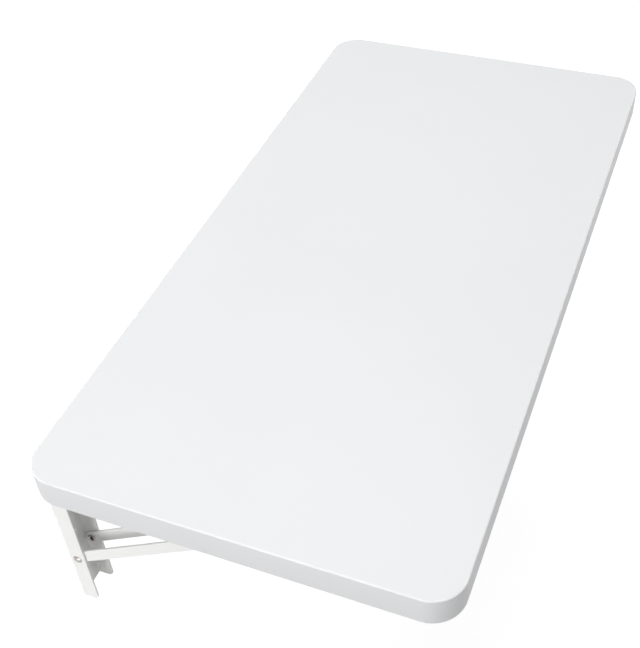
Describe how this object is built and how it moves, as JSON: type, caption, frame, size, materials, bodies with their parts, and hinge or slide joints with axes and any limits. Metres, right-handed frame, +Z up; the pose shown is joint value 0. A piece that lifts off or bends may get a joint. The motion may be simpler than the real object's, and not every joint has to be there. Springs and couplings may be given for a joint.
{
  "type": "wall-mounted folding table",
  "caption": "White wall-mounted drop-leaf table: round-cornered board on folding steel brackets with sliding struts and sprung release levers.",
  "frame": {"origin": "centre of the four outer wall screw holes, on the wall plane", "axes": "+X along the wall, +Y into the wall, +Z up"},
  "size_m": [0.8, 0.402, 0.2276],
  "materials": {
    "white_board": "satin white foil over board",
    "white_steel": "fine white powder coat",
    "nickel_rivet": "nickel plated, polished",
    "zinc_screw": "bright zinc plated",
    "nylon_washer": "natural nylon",
    "spring_wire": "oiled spring steel"
  },
  "bodies": {
    "wall_rails": {"rail_left": "white_steel", "hinge_pin_left": "nickel_rivet", "hinge_washers_left": "nylon_washer", "strut_foot_rivets_left": "nickel_rivet", "rail_right": "white_steel", "hinge_pin_right": "nickel_rivet", "hinge_washers_right": "nylon_washer", "strut_foot_rivets_right": "nickel_rivet"},
    "table_top": {"tabletop": "white_board", "arm_left": "white_steel", "arm_screws_left": "zinc_screw", "lever_pin_left": "nickel_rivet", "lever_spring_left": "spring_wire", "arm_right": "white_steel", "arm_screws_right": "zinc_screw", "lever_pin_right": "nickel_rivet", "lever_spring_right": "spring_wire"},
    "strut_left": {"strut_outer_bar_left": "white_steel", "strut_inner_bar_left": "white_steel", "strut_head_rivets_left": "nickel_rivet"},
    "strut_right": {"strut_outer_bar_right": "white_steel", "strut_inner_bar_right": "white_steel", "strut_head_rivets_right": "nickel_rivet"},
    "slide_pin_left": {"slide_studs_left": "nickel_rivet"},
    "slide_pin_right": {"slide_studs_right": "nickel_rivet"},
    "lever_left": {"release_lever_left": "white_steel"},
    "lever_right": {"release_lever_right": "white_steel"}
  },
  "joints": [
    {"name": "fold", "type": "hinge", "parent": "wall_rails", "child": "table_top", "pos_m": [0, -0.0106, 0.096], "axis": [1, 0, 0], "range_deg": [0, 90]},
    {"name": "strut_turn_left", "type": "hinge", "parent": "wall_rails", "child": "strut_left", "pos_m": [-0.36, -0.01, -0.022], "axis": [1, 0, 0], "range_deg": [0, 121.81]},
    {"name": "strut_turn_right", "type": "hinge", "parent": "wall_rails", "child": "strut_right", "pos_m": [0.36, -0.01, -0.022], "axis": [1, 0, 0], "range_deg": [0, 121.81]},
    {"name": "pin_slide_left", "type": "slide", "parent": "table_top", "child": "slide_pin_left", "axis": [0, -1, 0], "range_m": [0, 0.15353]},
    {"name": "pin_slide_right", "type": "slide", "parent": "table_top", "child": "slide_pin_right", "axis": [0, -1, 0], "range_m": [0, 0.15353]},
    {"name": "lever_press_left", "type": "hinge", "parent": "table_top", "child": "lever_left", "pos_m": [-0.36, -0.2196, 0.0911], "axis": [-1, 0, 0], "range_deg": [0, 22], "stiffness_Nm_per_rad": 0.3, "springref_deg": -20.05, "deforming": ["lever_spring_left"]},
    {"name": "lever_press_right", "type": "hinge", "parent": "table_top", "child": "lever_right", "pos_m": [0.36, -0.2196, 0.0911], "axis": [-1, 0, 0], "range_deg": [0, 22], "stiffness_Nm_per_rad": 0.3, "springref_deg": -20.05, "deforming": ["lever_spring_right"]}
  ],
  "couplings": [
    {"joint": "strut_turn_left", "follows": "fold", "ratio": 1.3533},
    {"joint": "strut_turn_right", "follows": "fold", "ratio": 1.3533},
    {"joint": "pin_slide_left", "follows": "fold", "m_per_rad": 0.097737},
    {"joint": "pin_slide_right", "follows": "fold", "m_per_rad": 0.097737}
  ]
}
